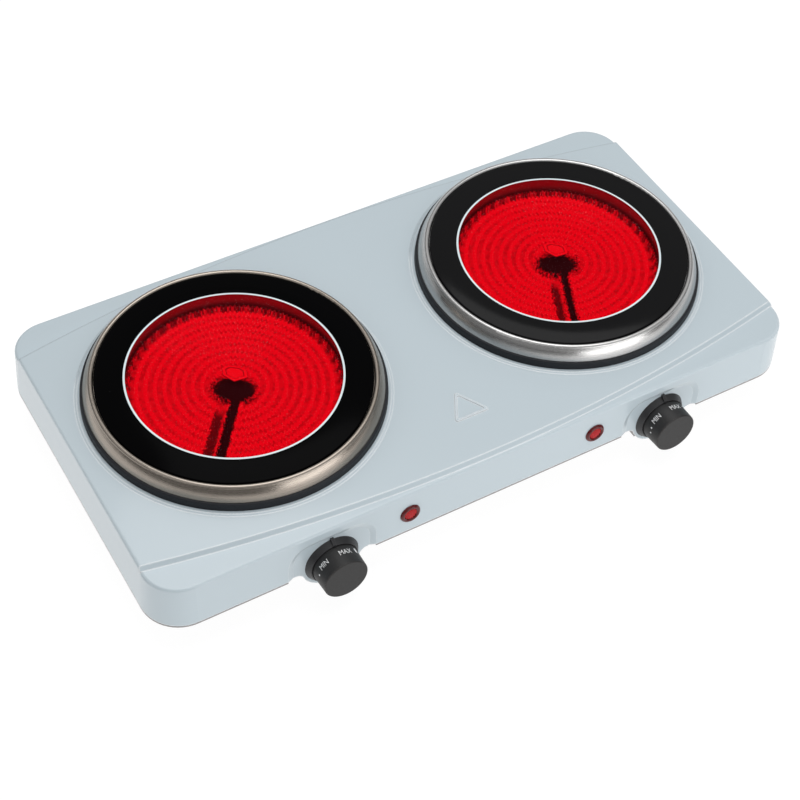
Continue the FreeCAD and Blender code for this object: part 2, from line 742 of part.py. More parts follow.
def earth_screw():
    """Screw and tag that bond the mains earth to the base."""
    screw = moved(pan_head(3.6, 2.2, 1.5, 6.0), 0, 0, tray_floor + sheet + 0.8)
    tag = disc(5.0, 0, 0.8).fuse(box(0, 14, -3.15, 3.15, 0, 0.8)).cut(disc(1.5, -1, 2))
    tag = moved(tag.removeSplitter(), 0, 0, tray_floor + sheet)
    return [moved(screw, earth_spot[0], earth_spot[1], 0), moved(tag, earth_spot[0], earth_spot[1], 0)]


# --- write every piece --------------------------------------------------------
os.makedirs("parts", exist_ok=True)
save("top_shell", top_shell())
save("base_pan", base_pan())
save("shell_lugs", group([at_lug(lug(s[3]), s) for s in lug_spots()]))
save("base_screws", group([at_lug(base_screw(s[3]), s) for s in lug_spots()]))
for place, (x, y) in foot_spots().items():
    save("foot_" + place, foot(x, y))
save("foot_screws", group([s for x, y in foot_spots().values() for s in foot_screw(x, y)]))

lead_holes = [disc(lead_radius + 0.7, -40, 20, x, y) for x, y in lead_spots()]
for side, sign in sides.items():
    def at_burner(shape):
        """Put a burner piece, drawn about its own axis, over this burner's centre."""
        return moved(shape, sign * burner_x, burner_y, housing_top)

    def at_channel(shape):
        """The same, with its channel turned to this burner's direction."""
        return at_burner(turned(shape, -channel_turn[side]))

    save(side + "_glass_disc", at_burner(glass_disc()))
    save(side + "_trim_ring", at_burner(trim_ring()))
    save(side + "_gasket_ring", at_burner(gasket_ring()))
    save(side + "_ring_clips", group([at_burner(s) for s in ring_clips()]))
    save(side + "_heater_pan", at_channel(heater_pan().cut(lead_holes)))
    save(side + "_insulation_base", at_channel(insulation_base().cut(lead_holes)))
    save(side + "_insulation_ring", at_burner(insulation_ring()))
    save(side + "_heating_ribbon", at_channel(heating_coil()))
    save(side + "_coil_anchor", at_channel(coil_anchor()))
    save(side + "_heater_leads", group([at_channel(s) for s in heater_leads()]))
    save(side + "_heater_terminal", at_channel(heater_terminal()))
    save(side + "_thermal_cutout", at_burner(turned(thermal_cutout(), 180 if sign > 0 else 0)))
    save(side + "_crossbar", at_burner(crossbar()))
    save(side + "_pan_springs", group([at_burner(s) for s in pan_springs()]))
    save(side + "_crossbar_screws", group([at_burner(s) for s in crossbar_screws()]))

    knob_spot = front_wall(knob_x(side), knob_height)
    save(side + "_knob", placed(knob(), knob_spot))
    save(side + "_spindle", placed(spindle(), knob_spot))
    save(side + "_bezel", placed(bezel(), knob_spot))
    save(side + "_control_screws", group([placed(s, knob_spot) for s in control_screws()]))
    save(side + "_regulator", placed(regulator(), knob_spot))

    lamp_spot = front_wall(lamp_x(side), lamp_height)
    save(side + "_lamp_lens", placed(lamp_lens(), lamp_spot))
    save(side + "_lamp_body", placed(lamp_body(), lamp_spot))
    save(side + "_lamp_clip", placed(lamp_clip(), lamp_spot))

save("cord_gland", placed(cord_gland(), back_wall(0, gland_height)))
save("cord_clamp", cord_clamp())
save("mains_terminal", mains_terminal())
save("earth_screw", group(earth_screw()))
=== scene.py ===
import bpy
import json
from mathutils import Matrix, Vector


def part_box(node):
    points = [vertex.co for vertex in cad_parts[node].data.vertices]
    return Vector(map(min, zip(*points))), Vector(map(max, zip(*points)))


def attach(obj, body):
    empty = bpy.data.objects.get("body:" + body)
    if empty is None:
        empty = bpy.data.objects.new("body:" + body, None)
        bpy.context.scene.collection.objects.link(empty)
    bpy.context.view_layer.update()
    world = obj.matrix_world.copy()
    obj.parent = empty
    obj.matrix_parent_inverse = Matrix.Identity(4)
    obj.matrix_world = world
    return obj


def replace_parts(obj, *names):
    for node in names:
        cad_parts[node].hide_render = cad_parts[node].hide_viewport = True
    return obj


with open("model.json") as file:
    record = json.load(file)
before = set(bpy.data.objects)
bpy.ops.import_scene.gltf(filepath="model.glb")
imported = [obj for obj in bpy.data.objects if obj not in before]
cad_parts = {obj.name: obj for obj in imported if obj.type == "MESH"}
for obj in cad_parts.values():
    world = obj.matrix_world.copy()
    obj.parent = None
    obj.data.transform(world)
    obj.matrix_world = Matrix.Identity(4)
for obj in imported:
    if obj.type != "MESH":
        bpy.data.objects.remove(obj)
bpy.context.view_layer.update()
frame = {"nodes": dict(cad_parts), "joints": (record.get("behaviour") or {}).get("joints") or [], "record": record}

# %% [markdown]
# # A double infrared hot plate
# The object is a pressed, enamelled steel box with two glass-topped heaters, two knobs and two
# red lamps. The design file already holds every piece at its true size. This lesson gives those
# pieces their finishes, and replaces the few whose real shape is too fine for a plain solid:
# the corrugated heating ribbons, the printed glass, the lamp lenses and the marks on the knobs.
# The scene is in metres; small shapes are written in millimetres and scaled by `mm`. Places and
# sizes of whole pieces are read from the design. Colours, the dark patches of the glow, the print
# angles, the centre plate's outline and the lights were tuned against the real look.

# %% Tools and places
import json
import math

import bmesh
import bpy
from mathutils import Matrix, Vector

mm = 0.001
nodes = frame["nodes"]
sides = ("left", "right")


def middle(node):
    """Centre of a node's box."""
    low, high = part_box(node)
    return (low + high) / 2


burner = {side: middle(side + "_glass_disc") for side in sides}
glass_low, glass_high = (corner.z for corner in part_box("left_glass_disc"))
glass_radius = (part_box("left_glass_disc")[1].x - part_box("left_glass_disc")[0].x) / 2
bed_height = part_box("left_insulation_base")[1].z
channel_turn = {"left": math.radians(38), "right": math.radians(24)}
print("burners at", [tuple(round(v, 4) for v in burner[side]) for side in sides])

# %% [markdown]
# ## Building meshes in code
# Most pieces of an appliance are turned or pressed. A turned piece is a profile swept round an
# axis, so one small `lathe` helper makes glass, printed lines and lenses. Each stretch of the
# profile can have its own material, which is how the print on the glass stays one clean mesh.


# %% Mesh helpers
def new_piece(name, points, faces, materials, indices=None, smooth=True):
    """Mesh object from points in metres, with one material index for each face."""
    mesh = bpy.data.meshes.new(name)
    mesh.from_pydata([tuple(p) for p in points], [], faces)
    for material in materials:
        mesh.materials.append(material)
    for number, face in enumerate(mesh.polygons):
        face.use_smooth = smooth
        face.material_index = indices[number] if indices else 0
    mesh.validate()
    piece = bpy.data.objects.new(name, mesh)
    bpy.context.scene.collection.objects.link(piece)
    return piece


def lathe(name, profile, place, materials, steps=160, kinds=None):
    """Turn a profile of (radius, height) in mm about the Z axis of a place matrix."""
    points, faces, indices, rings = [], [], [], []
    for radius, height in profile:
        if radius < 1e-6:
            rings.append([len(points)])
            points.append(place @ Vector((0, 0, height * mm)))
            continue
        rings.append(list(range(len(points), len(points) + steps)))
        for i in range(steps):
            angle = 2 * math.pi * i / steps
            spot = Vector((radius * math.cos(angle), radius * math.sin(angle), height)) * mm
            points.append(place @ spot)
    for number, (inner, outer) in enumerate(zip(rings, rings[1:])):
        for i in range(steps):
            j = (i + 1) % steps
            if len(inner) == 1:
                faces.append((inner[0], outer[i], outer[j]))
            elif len(outer) == 1:
                faces.append((inner[i], outer[0], inner[j]))
            else:
                faces.append((inner[i], outer[i], outer[j], inner[j]))
            indices.append(kinds[number] if kinds else 0)
    piece = new_piece(name, points, faces, materials, indices)
    tidy = bmesh.new()
    tidy.from_mesh(piece.data)
    bmesh.ops.recalc_face_normals(tidy, faces=tidy.faces)
    tidy.to_mesh(piece.data)
    tidy.free()
    return piece


def burner_place(side, height=0.0):
    """Place matrix over a burner's centre, at a height in metres."""
    centre = burner[side]
    return Matrix.Translation(Vector((centre.x, centre.y, height)))


# %% [markdown]
# ## Node helpers
# Materials are written as short functions. `put` adds a node and sets its plain values, and
# `wire` joins two sockets, so each finish below reads as a list of what it does.


# %% Node helpers
def put(tree, kind, **values):
    """Add a node; names that match a property set it, other names set an input."""
    node = tree.nodes.new(kind)
    for name, value in values.items():
        if hasattr(node, name):
            setattr(node, name, value)
        else:
            node.inputs[name.replace("_", " ")].default_value = value
    return node


def wire(tree, source, target):
    """Join an output socket to an input socket."""
    tree.links.new(source, target)


def maths(tree, operation, first, second=None, third=None):
    """Math node whose inputs may be sockets or numbers; returns its output."""
    node = put(tree, "ShaderNodeMath", operation=operation)
    for slot_number, value in enumerate((first, second, third)):
        if isinstance(value, (int, float)):
            node.inputs[slot_number].default_value = value
        elif value is not None:
            wire(tree, value, node.inputs[slot_number])
    return node.outputs[0]


def ramp(tree, value, low, high):
    """Smooth 0 to 1 mask as a value goes from low to high."""
    node = put(tree, "ShaderNodeMapRange", interpolation_type="SMOOTHSTEP")
    wire(tree, value, node.inputs["Value"])
    node.inputs["From Min"].default_value = low
    node.inputs["From Max"].default_value = high
    return node.outputs["Result"]


def blend_colours(tree, mask, first, second):
    """Mix two colours, each a socket or an RGBA tuple, by a mask socket."""
    node = put(tree, "ShaderNodeMix", data_type="RGBA")
    wire(tree, mask, node.inputs["Factor"])
    for name, value in (("A", first), ("B", second)):
        socket = next(s for s in node.inputs if s.name == name and s.type == "RGBA")
        if isinstance(value, tuple):
            socket.default_value = value
        else:
            wire(tree, value, socket)
    return next(s for s in node.outputs if s.type == "RGBA")


def new_group(name, inputs, outputs):
    """Empty shader group with the given sockets; returns tree, its input and its output node."""
    tree = bpy.data.node_groups.new(name, "ShaderNodeTree")
    for label, kind, value in inputs:
        made = tree.interface.new_socket(name=label, in_out="INPUT", socket_type=kind)
        made.default_value = value
    for label, kind in outputs:
        tree.interface.new_socket(name=label, in_out="OUTPUT", socket_type=kind)
    return tree, tree.nodes.new("NodeGroupInput"), tree.nodes.new("NodeGroupOutput")


def use_group(tree, group, **values):
    """Place a shared group in a material with its own values."""
    node = put(tree, "ShaderNodeGroup", node_tree=group)
    for name, value in values.items():
        node.inputs[name.replace("_", " ")].default_value = value
    return node


def new_material(name):
    """Node material; returns it with its tree and its surface shader."""
    material = bpy.data.materials.new(name)
    material.use_nodes = True
    return material, material.node_tree, material.node_tree.nodes["Principled BSDF"]


# %% [markdown]
# ## Shared effects
# Three effects come back in many finishes. *Fine grain* is the slight unevenness of any moulded
# or painted surface. *Edge wear and highlight* finds outer edges by comparing a bevelled normal
# with the true one; the colour laid there is wear on some pieces and a painted highlight on others.
# *Burner place* tells a shader how far it is from a burner's centre and from its channel.
# Each is a group that is built once and gives out values only, so an export can bake it.

# %% Fine grain group
grain, grain_in, grain_out = new_group(
    "fine_grain",
    [("Scale", "NodeSocketFloat", 400.0), ("Depth", "NodeSocketFloat", 0.1),
     ("Low", "NodeSocketFloat", 0.3), ("High", "NodeSocketFloat", 0.4)],
    [("Normal", "NodeSocketVector"), ("Roughness", "NodeSocketFloat"), ("Mask", "NodeSocketFloat")])
grain_where = put(grain, "ShaderNodeTexCoord")
grain_noise = put(grain, "ShaderNodeTexNoise", Detail=4.0)
wire(grain, grain_where.outputs["Object"], grain_noise.inputs["Vector"])
wire(grain, grain_in.outputs["Scale"], grain_noise.inputs["Scale"])
grain_bump = put(grain, "ShaderNodeBump", Distance=0.0004)
wire(grain, grain_in.outputs["Depth"], grain_bump.inputs["Strength"])
wire(grain, grain_noise.outputs["Fac"], grain_bump.inputs["Height"])
grain_rough = put(grain, "ShaderNodeMapRange")
grain_rough.inputs["From Min"].default_value = 0.3
grain_rough.inputs["From Max"].default_value = 0.7
wire(grain, grain_noise.outputs["Fac"], grain_rough.inputs["Value"])
wire(grain, grain_in.outputs["Low"], grain_rough.inputs["To Min"])
wire(grain, grain_in.outputs["High"], grain_rough.inputs["To Max"])
wire(grain, grain_bump.outputs["Normal"], grain_out.inputs["Normal"])
wire(grain, grain_rough.outputs["Result"], grain_out.inputs["Roughness"])
wire(grain, grain_noise.outputs["Fac"], grain_out.inputs["Mask"])

# %% Edge wear and highlight group
edge, edge_in, edge_out = new_group(
    "edge_wear_and_highlight",
    [("Radius", "NodeSocketFloat", 0.0006), ("Amount", "NodeSocketFloat", 0.5)],
    [("Mask", "NodeSocketFloat")])
edge_bevel = put(edge, "ShaderNodeBevel", samples=4)
wire(edge, edge_in.outputs["Radius"], edge_bevel.inputs["Radius"])
edge_true = put(edge, "ShaderNodeNewGeometry")
edge_dot = put(edge, "ShaderNodeVectorMath", operation="DOT_PRODUCT")
wire(edge, edge_bevel.outputs["Normal"], edge_dot.inputs[0])
wire(edge, edge_true.outputs["Normal"], edge_dot.inputs[1])
edge_turn = ramp(edge, edge_dot.outputs["Value"], 0.986, 0.955)
wire(edge, maths(edge, "MULTIPLY", edge_turn, edge_in.outputs["Amount"]), edge_out.inputs["Mask"])

# %% Burner place group
polar, polar_in, polar_out = new_group(
    "burner_place",
    [("Centre", "NodeSocketVector", (0, 0, 0)), ("Turn", "NodeSocketFloat", 0.0)],
    [("Radius", "NodeSocketFloat"), ("Across", "NodeSocketFloat"), ("Along", "NodeSocketFloat"),
     ("Angle", "NodeSocketFloat"), ("Height", "NodeSocketFloat")])
polar_where = put(polar, "ShaderNodeTexCoord")
polar_shift = put(polar, "ShaderNodeVectorMath", operation="SUBTRACT")
wire(polar, polar_where.outputs["Object"], polar_shift.inputs[0])
wire(polar, polar_in.outputs["Centre"], polar_shift.inputs[1])
polar_turn = put(polar, "ShaderNodeVectorRotate", rotation_type="Z_AXIS")
wire(polar, polar_shift.outputs["Vector"], polar_turn.inputs["Vector"])
wire(polar, polar_in.outputs["Turn"], polar_turn.inputs["Angle"])
polar_parts = put(polar, "ShaderNodeSeparateXYZ")
wire(polar, polar_turn.outputs["Vector"], polar_parts.inputs["Vector"])
polar_x = maths(polar, "MULTIPLY", polar_parts.outputs["X"], 1000.0)
polar_y = maths(polar, "MULTIPLY", polar_parts.outputs["Y"], 1000.0)
polar_square = maths(polar, "ADD", maths(polar, "MULTIPLY", polar_x, polar_x),
                     maths(polar, "MULTIPLY", polar_y, polar_y))
wire(polar, maths(polar, "SQRT", polar_square), polar_out.inputs["Radius"])
wire(polar, polar_x, polar_out.inputs["Across"])
wire(polar, polar_y, polar_out.inputs["Along"])
wire(polar, maths(polar, "ARCTAN2", polar_y, polar_x), polar_out.inputs["Angle"])
wire(polar, maths(polar, "MULTIPLY", polar_parts.outputs["Z"], 1000.0), polar_out.inputs["Height"])

# %% [markdown]
# ## Where the heater is lit
# A lit heater seen from above isn't one even red. It is dark round the bare middle, along two
# bands beside the ribbon's inner end, and past a scalloped rim where the ribbon turns back. This
# group gives one mask for all of that, and both the board and the ribbon use it.

# %% Lit field group
lit, lit_in, lit_out = new_group(
    "lit_field", [("Centre", "NodeSocketVector", (0, 0, 0)), ("Turn", "NodeSocketFloat", 0.0)],
    [("Mask", "NodeSocketFloat")])
lit_where = use_group(lit, polar)
wire(lit, lit_in.outputs["Centre"], lit_where.inputs["Centre"])
wire(lit, lit_in.outputs["Turn"], lit_where.inputs["Turn"])
lit_spot = put(lit, "ShaderNodeTexCoord")
lit_fine = put(lit, "ShaderNodeTexNoise", Scale=620.0, Detail=2.0)
wire(lit, lit_spot.outputs["Object"], lit_fine.inputs["Vector"])
lit_jitter = maths(lit, "MULTIPLY_ADD", lit_fine.outputs["Fac"], 12.0, -6.0)
blotch_x = maths(lit, "DIVIDE", lit_where.outputs["Across"], 1.12)
blotch_y = maths(lit, "MULTIPLY_ADD", lit_where.outputs["Along"], 1.1, 3.4)
blotch_square = maths(lit, "ADD", maths(lit, "MULTIPLY", blotch_x, blotch_x),
                      maths(lit, "MULTIPLY", blotch_y, blotch_y))
blotch_far = maths(lit, "ADD", maths(lit, "SQRT", blotch_square), lit_jitter)
lit_middle = ramp(lit, blotch_far, 11.0, 15.5)


def dark_band(centre, half_width, start, end, strength):
    """Dark band beside the ribbon's inner end; fades in between two distances from the middle."""
    off = maths(lit, "ABSOLUTE", maths(lit, "SUBTRACT", lit_where.outputs["Across"], centre))
    fuzzy = maths(lit, "MULTIPLY_ADD", lit_jitter, 0.45, off)
    band = ramp(lit, fuzzy, half_width + 0.7, half_width - 0.7)
    reach_in = ramp(lit, lit_where.outputs["Along"], -start, -end)
    return maths(lit, "MULTIPLY", maths(lit, "MULTIPLY", band, reach_in), strength)


lit_bands = maths(lit, "ADD", dark_band(2.8, 3.1, 9.0, 13.0, 1.0),
                  dark_band(-5.4, 2.8, 19.0, 27.0, 0.85))
scallop_count = 23.5
scallop_wave = maths(lit, "MULTIPLY", lit_where.outputs["Angle"], scallop_count)
scallop = maths(lit, "ABSOLUTE", maths(lit, "SINE", scallop_wave))
hair_place = put(lit, "ShaderNodeCombineXYZ")
wire(lit, maths(lit, "MULTIPLY", lit_where.outputs["Angle"], 110.0), hair_place.inputs["X"])
wire(lit, maths(lit, "MULTIPLY", lit_where.outputs["Radius"], 0.12), hair_place.inputs["Y"])
hair = put(lit, "ShaderNodeTexNoise", Scale=1.0, Detail=2.0)
wire(lit, hair_place.outputs["Vector"], hair.inputs["Vector"])
rim_edge = maths(lit, "MULTIPLY_ADD", scallop, -2.6, lit_where.outputs["Radius"])
rim_hairy = maths(lit, "MULTIPLY_ADD", hair.outputs["Fac"], 9.0, rim_edge)
lit_rim = maths(lit, "MULTIPLY_ADD", ramp(lit, rim_hairy, 73.0, 68.0), 0.86, 0.14)
lit_open = maths(lit, "SUBTRACT", 1.0, maths(lit, "MINIMUM", lit_bands, 1.0))
wire(lit, maths(lit, "MULTIPLY", maths(lit, "MULTIPLY", lit_middle, lit_open), lit_rim),
     lit_out.inputs["Mask"])

# %% [markdown]
# ## Plain finishes
# A moulded or sheet-metal finish is a base colour, grain in roughness and normal, a slow change
# of tone over the surface and a lighter colour on the edges, which is wear on some pieces and a
# painted highlight on others. One function makes them all, so that pieces differ only by a few
# values: colour, gloss, grain size and the strength of that edge colour.


# %% Finish function
def finish(name, colour, rough=(0.35, 0.45), metal=0.0, scale=400.0, depth=0.1, tone=0.08, wear_and_highlight=0.1,
           wear_and_highlight_colour=None, coat=0.0, specular=0.5, soft=0.0, far_edge_shade=None, edge_width=0.0008):
    """Material with grain, slow tone change and a lighter edge colour, which is wear on some pieces and a painted
    highlight on others; far_edge_shade paints shade on the rearmost edges.
    """
    material, tree, shader = new_material(name)
    shader.inputs["Metallic"].default_value = metal
    shader.inputs["Coat Weight"].default_value = coat
    shader.inputs["Coat Roughness"].default_value = 0.08
    shader.inputs["Specular IOR Level"].default_value = specular
    fine = use_group(tree, grain, Scale=scale, Depth=depth, Low=rough[0], High=rough[1])
    if soft:
        rounded = put(tree, "ShaderNodeBevel", samples=6)
        rounded.inputs["Radius"].default_value = soft
        wire(tree, rounded.outputs["Normal"], shader.inputs["Normal"])
        wire(tree, rounded.outputs["Normal"], shader.inputs["Coat Normal"])
    else:
        wire(tree, fine.outputs["Normal"], shader.inputs["Normal"])
    wire(tree, fine.outputs["Roughness"], shader.inputs["Roughness"])
    slow = use_group(tree, grain, Scale=scale * 0.04, Depth=0.0)
    light = tuple(min(1.0, c * (1 + tone)) for c in colour) + (1.0,)
    dark = tuple(c * (1 - tone) for c in colour) + (1.0,)
    shade = blend_colours(tree, slow.outputs["Mask"], dark, light)
    wear_and_highlight_colour = wear_and_highlight_colour or tuple(min(1.0, c * 1.6 + 0.02) for c in colour)
    wear_and_highlight_rgba = tuple(wear_and_highlight_colour) + (1.0,)
    # Rearmost edges get a darker edge colour: painted shade.
    if far_edge_shade:
        where = use_group(tree, polar)
        far = ramp(tree, where.outputs["Along"], 60.0, 70.0)
        wear_and_highlight_rgba = blend_colours(tree, far, wear_and_highlight_rgba, tuple(far_edge_shade) + (1.0,))
    # The lighter edge colour is real wear on some pieces and a painted highlight on others.
    rim = use_group(tree, edge, Amount=wear_and_highlight, Radius=edge_width)
    wire(tree, blend_colours(tree, rim.outputs["Mask"], shade, wear_and_highlight_rgba), shader.inputs["Base Color"])
    return material


# %% [markdown]
# ## The maker's palette
# The housing is satin enamel over steel, pale blue-grey, under a thin clear coat. Its pressed
# edges get a painted highlight line, and the rearmost ones a darker line of painted shade. The other
# finishes are zinc-coated sheet, rubber, dark mouldings, ceramic, brass and pressed insulation.

# %% Palette
palette = {
    # Housing: the light edge colour is a painted highlight, and the dark rear edge colour is painted shade.
    "housing_enamel": finish("housing_enamel", (0.56, 0.65, 0.70), rough=(0.28, 0.34), scale=260.0,
                             depth=0.02, tone=0.012, wear_and_highlight=1.0, wear_and_highlight_colour=(0.93, 0.96, 0.98), coat=0.5, soft=0.0009,
                             far_edge_shade=(0.40, 0.45, 0.48), edge_width=0.0015),
    "base_paint": finish("base_paint", (0.40, 0.38, 0.375), rough=(0.4, 0.5), depth=0.05, tone=0.03),
    "zinc_steel": finish("zinc_steel", (0.55, 0.56, 0.57), rough=(0.3, 0.5), metal=1.0, scale=180.0,
                         depth=0.08, tone=0.15),
    "seal_rubber": finish("seal_rubber", (0.011, 0.013, 0.017), rough=(0.5, 0.65), scale=900.0, depth=0.25,
                          wear_and_highlight=0.3, wear_and_highlight_colour=(0.05, 0.055, 0.065), specular=0.35),
    "foot_rubber": finish("foot_rubber", (0.02, 0.02, 0.021), rough=(0.6, 0.75), scale=800.0, depth=0.3),
    # Knob: the light edge colour is a painted highlight on its rims.
    "knob_plastic": finish("knob_plastic", (0.015, 0.014, 0.014), rough=(0.42, 0.54), scale=1400.0,
                           depth=0.16, tone=0.1, wear_and_highlight=0.7, wear_and_highlight_colour=(0.13, 0.12, 0.115), specular=0.4),
    "bezel_plastic": finish("bezel_plastic", (0.018, 0.018, 0.02), rough=(0.35, 0.5), scale=1200.0,
                            depth=0.12, wear_and_highlight=0.5, wear_and_highlight_colour=(0.07, 0.07, 0.075)),
    "lamp_plastic": finish("lamp_plastic", (0.72, 0.69, 0.6), rough=(0.4, 0.5)),
    "regulator_plastic": finish("regulator_plastic", (0.05, 0.042, 0.036), rough=(0.4, 0.55)),
    "insulation_board": finish("insulation_board", (0.45, 0.4, 0.34), rough=(0.85, 0.95), scale=600.0,
                               depth=0.6, tone=0.12, wear_and_highlight=0.0),
    "ceramic_block": finish("ceramic_block", (0.78, 0.74, 0.66), rough=(0.55, 0.7), scale=700.0),
    "terminal_plastic": finish("terminal_plastic", (0.75, 0.75, 0.7), rough=(0.35, 0.45)),
    "gland_plastic": finish("gland_plastic", (0.02, 0.02, 0.02), rough=(0.4, 0.5), scale=900.0, wear_and_highlight=0.3),
    "brass_parts": finish("brass_parts", (0.72, 0.5, 0.2), rough=(0.25, 0.4), metal=1.0, tone=0.1),
}
print("plain finishes:", len(palette))

# %% [markdown]
# ## Spun steel
# The trim rings are spun on a lathe, which leaves fine lines round them. The lines come from a
# noise that changes quickly with radius and height and hardly at all round the circle. They feed
# both roughness and a very shallow bump, so highlights break into thin arcs as they do on metal.


# %% Spun steel
# The two rings are the same steel; each side gets its own pair of tones, painted reflection and shade: the left
# ring darker and warmer, the right one paler grey.
ring_reflection_tones = {"left": ((0.25, 0.215, 0.18, 1), (0.46, 0.41, 0.36, 1)),
               "right": ((0.42, 0.42, 0.42, 1), (0.62, 0.61, 0.60, 1))}


def spun_steel(side):
    """Brushed ring finish, with its lines centred on one burner."""
    material, tree, shader = new_material(side + "_ring_steel")
    shader.inputs["Metallic"].default_value = 1.0
    where = use_group(tree, polar, Centre=tuple(burner[side]))
    line_place = put(tree, "ShaderNodeCombineXYZ")
    wire(tree, maths(tree, "MULTIPLY", where.outputs["Radius"], 6.0), line_place.inputs["X"])
    wire(tree, maths(tree, "MULTIPLY", where.outputs["Height"], 6.0), line_place.inputs["Y"])
    wire(tree, maths(tree, "MULTIPLY", where.outputs["Angle"], 0.8), line_place.inputs["Z"])
    lines = put(tree, "ShaderNodeTexNoise", Scale=1.0, Detail=3.0)
    wire(tree, line_place.outputs["Vector"], lines.inputs["Vector"])
    bump = put(tree, "ShaderNodeBump", Strength=0.12, Distance=0.0002)
    wire(tree, lines.outputs["Fac"], bump.inputs["Height"])
    wire(tree, bump.outputs["Normal"], shader.inputs["Normal"])
    wire(tree, maths(tree, "MULTIPLY_ADD", lines.outputs["Fac"], 0.25, 0.14), shader.inputs["Roughness"])
    tone_noise = use_group(tree, grain, Scale=9.0, Depth=0.0)
    steel = blend_colours(tree, tone_noise.outputs["Mask"], *ring_reflection_tones[side])
    wire(tree, steel, shader.inputs["Base Color"])
    return material


# %% [markdown]
# ## The glowing bed
# Seen through the glass, a lit heater is a field of bright red with a dark middle and a dark
# channel where the ribbon's inner end runs out. The board under the ribbons glows because they
# light it, so it gets an emission that fades in the middle, along the channel and at the rim.


# %% Glow materials
def glow_bed(side):
    """Insulation board lit red by the ribbons standing on it."""
    material, tree, shader = new_material(side + "_glow_bed")
    shader.inputs["Roughness"].default_value = 0.95
    shader.inputs["Base Color"].default_value = (0.012, 0.001, 0.001, 1)
    shader.inputs["Specular IOR Level"].default_value = 0.0
    field = use_group(tree, lit, Centre=tuple(burner[side]), Turn=channel_turn[side])
    fine = use_group(tree, grain, Scale=420.0, Depth=0.0)
    dashes = ramp(tree, fine.outputs["Mask"], 0.40, 0.52)
    bright = blend_colours(tree, dashes, (0.50, 0.001, 0.0045, 1), (0.68, 0.0013, 0.0065, 1))
    wire(tree, blend_colours(tree, field.outputs["Mask"], (0.010, 0.0006, 0.0014, 1), bright),
         shader.inputs["Emission Color"])
    shader.inputs["Emission Strength"].default_value = 1.0
    return material


def glow_metal(name, colour, low, side=None):
    """Red-hot alloy, uneven along its length; with a side given, cool where the bed is dark."""
    material, tree, shader = new_material(name)
    shader.inputs["Roughness"].default_value = 0.6
    shader.inputs["Specular IOR Level"].default_value = 0.0
    shader.inputs["Base Color"].default_value = (0.02, 0.001, 0.001, 1)
    tone_noise = use_group(tree, grain, Scale=500.0, Depth=0.0)
    cool = tuple(c * low for c in colour) + (1.0,)
    shade = blend_colours(tree, tone_noise.outputs["Mask"], cool, tuple(colour) + (1.0,))
    if side:
        field = use_group(tree, lit, Centre=tuple(burner[side]), Turn=channel_turn[side])
        shade = blend_colours(tree, field.outputs["Mask"], (0.012, 0.0008, 0.0018, 1), shade)
    wire(tree, shade, shader.inputs["Emission Color"])
    shader.inputs["Emission Strength"].default_value = 1.0
    return material


def glow_wall(side):
    """Inner face of the insulation ring, dimly lit, with the drag marks of its pressing."""
    material, tree, shader = new_material(side + "_glow_wall")
    shader.inputs["Roughness"].default_value = 0.95
    shader.inputs["Specular IOR Level"].default_value = 0.0
    shader.inputs["Base Color"].default_value = (0.03, 0.001, 0.001, 1)
    where = use_group(tree, polar, Centre=tuple(burner[side]))
    marks_place = put(tree, "ShaderNodeCombineXYZ")
    wire(tree, maths(tree, "MULTIPLY", where.outputs["Angle"], 60.0), marks_place.inputs["X"])
    wire(tree, maths(tree, "MULTIPLY", where.outputs["Height"], 0.15), marks_place.inputs["Y"])
    marks = put(tree, "ShaderNodeTexNoise", Scale=1.0, Detail=3.0)
    wire(tree, marks_place.outputs["Vector"], marks.inputs["Vector"])
    rise = ramp(tree, where.outputs["Height"], -11.0, -4.0)
    shade = maths(tree, "MULTIPLY", maths(tree, "MULTIPLY_ADD", marks.outputs["Fac"], 0.6, 0.6), rise)
    wire(tree, blend_colours(tree, shade, (0.03, 0.0008, 0.0016, 1), (0.21, 0.0022, 0.0042, 1)),
         shader.inputs["Emission Color"])
    shader.inputs["Emission Strength"].default_value = 1.0
    return material


ribbon_hot = {side: glow_metal(side + "_ribbon_hot", (0.88, 0.0016, 0.0085), 0.82, side)
              for side in sides}
plate_hot = glow_metal("plate_hot", (0.88, 0.0018, 0.0085), 0.94)
plate_shade = glow_metal("plate_shade", (0.16, 0.001, 0.002), 0.6)

# %% [markdown]
# ## Finishes on the design's own pieces
# Most pieces keep their shape from the design and only need their slot filled. The record says
# which finish each one takes, so a loop does it.

# %% Dress the design's pieces
own_finish = {}
for side in sides:
    own_finish[side + "_trim_ring"] = spun_steel(side)
    own_finish[side + "_insulation_base"] = glow_bed(side)
    own_finish[side + "_insulation_ring"] = glow_wall(side)
    own_finish[side + "_coil_anchor"] = plate_hot
    own_finish[side + "_heating_ribbon"] = ribbon_hot[side]
    own_finish[side + "_glass_disc"] = palette["gland_plastic"]
    own_finish[side + "_lamp_lens"] = palette["gland_plastic"]
for entry in frame["record"]["subparts"]:
    node = entry["node"]
    material = own_finish.get(node) or palette[entry["material_slot"]]
    nodes[node].data.materials.clear()
    nodes[node].data.materials.append(material)

# %% [markdown]
# ## Printed glass
# The disc is glass ceramic with a black print round a clear heating zone and a thin silver line
# between them. The clear zone is glass that lets most light straight through, so it uses alpha
# rather than refraction: the glow below stays sharp, and an export keeps it.


